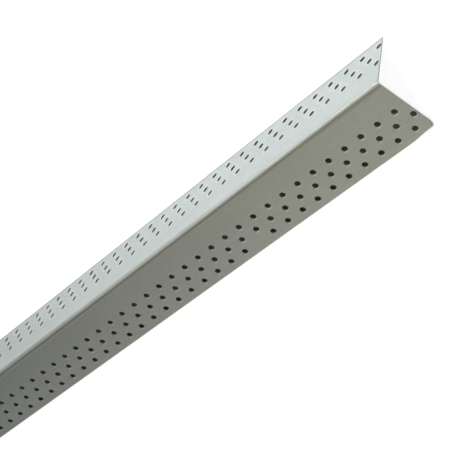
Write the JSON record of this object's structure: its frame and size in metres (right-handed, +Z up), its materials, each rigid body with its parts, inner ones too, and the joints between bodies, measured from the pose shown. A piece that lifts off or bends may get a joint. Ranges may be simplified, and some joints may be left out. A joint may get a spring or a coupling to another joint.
{
  "type": "perforated drywall corner bead",
  "caption": "Long galvanised steel angle with a small rounded nose and rows of punched holes in both flanges, for the outer corner of a plasterboard wall.",
  "frame": {"origin": "on the floor under the middle of the bead, which lies as a tent on its two flange edges with the nose upwards", "axes": "+X along the length, towards the end with the nipped corner; +Z up, out of the nose; +Y towards the back flange, the wider one by 1.6 mm"},
  "size_m": [1, 0.047, 0.025],
  "materials": {
    "galvanised_steel": "dull zinc coating, satin, faint rolling streaks"
  },
  "bodies": {
    "root": {"corner_bead": "galvanised_steel"}
  },
  "joints": []
}
